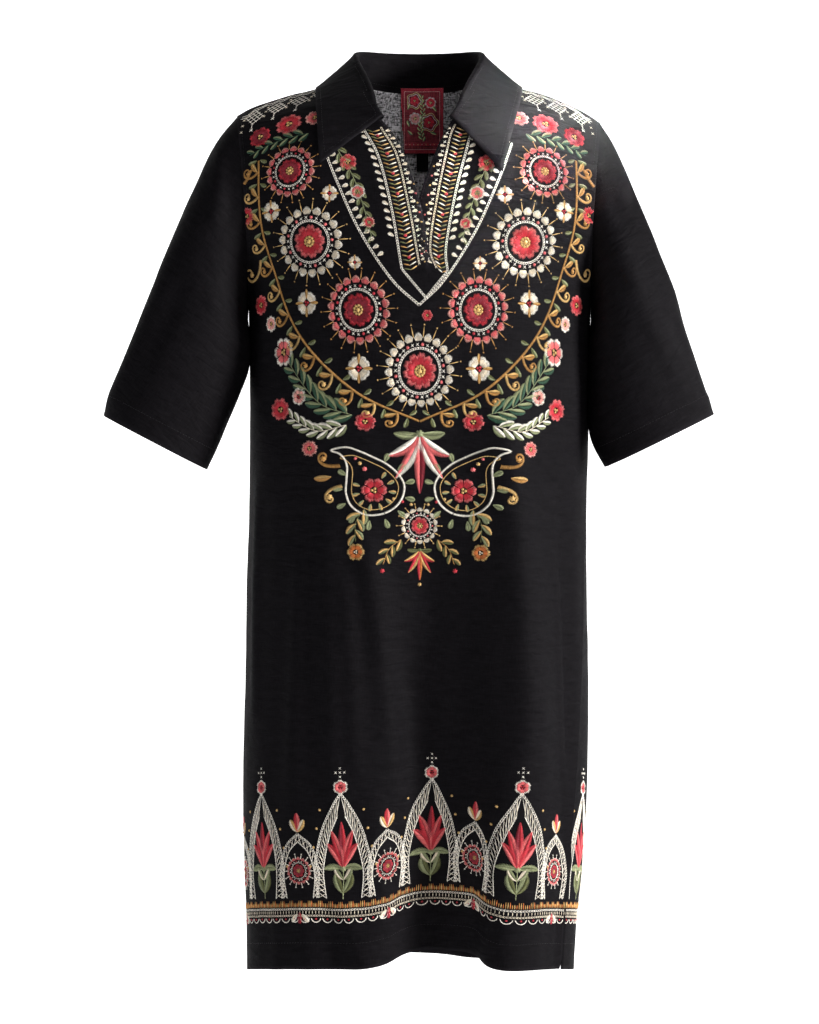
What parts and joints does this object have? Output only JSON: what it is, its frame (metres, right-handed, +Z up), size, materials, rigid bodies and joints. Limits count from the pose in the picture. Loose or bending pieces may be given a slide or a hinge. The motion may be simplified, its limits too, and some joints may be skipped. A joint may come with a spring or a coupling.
{
  "type": "shift dress",
  "caption": "Straight knee-length shift dress with a rolled shirt collar, short lapped front slit, elbow-length set-in sleeves and floral embroidery, hollow as if worn.",
  "frame": {"origin": "where the wearer's shoulders carry the dress: middle of the neck, level with the neck ends of the shoulder seams and in their plane", "axes": "+Z up, -Y out of the front, +X to the wearer's left"},
  "size_m": [0.6551, 0.2391, 0.9973],
  "materials": {
    "black_linen": "near-black slubby plain-weave linen and cotton cloth, matt, with coloured hand embroidery on the front, shoulders and hem",
    "woven_label": null,
    "embroidery_thread": "stranded embroidery thread in cream, red, rose, ochre and olive, raised, with a soft lustre along the stitches"
  },
  "bodies": {
    "root": {"front": "black_linen", "back": "black_linen", "sleeve_right": "black_linen", "sleeve_left": "black_linen", "collar": "black_linen", "label": "woven_label", "size_tag": "black_linen"}
  },
  "joints": []
}
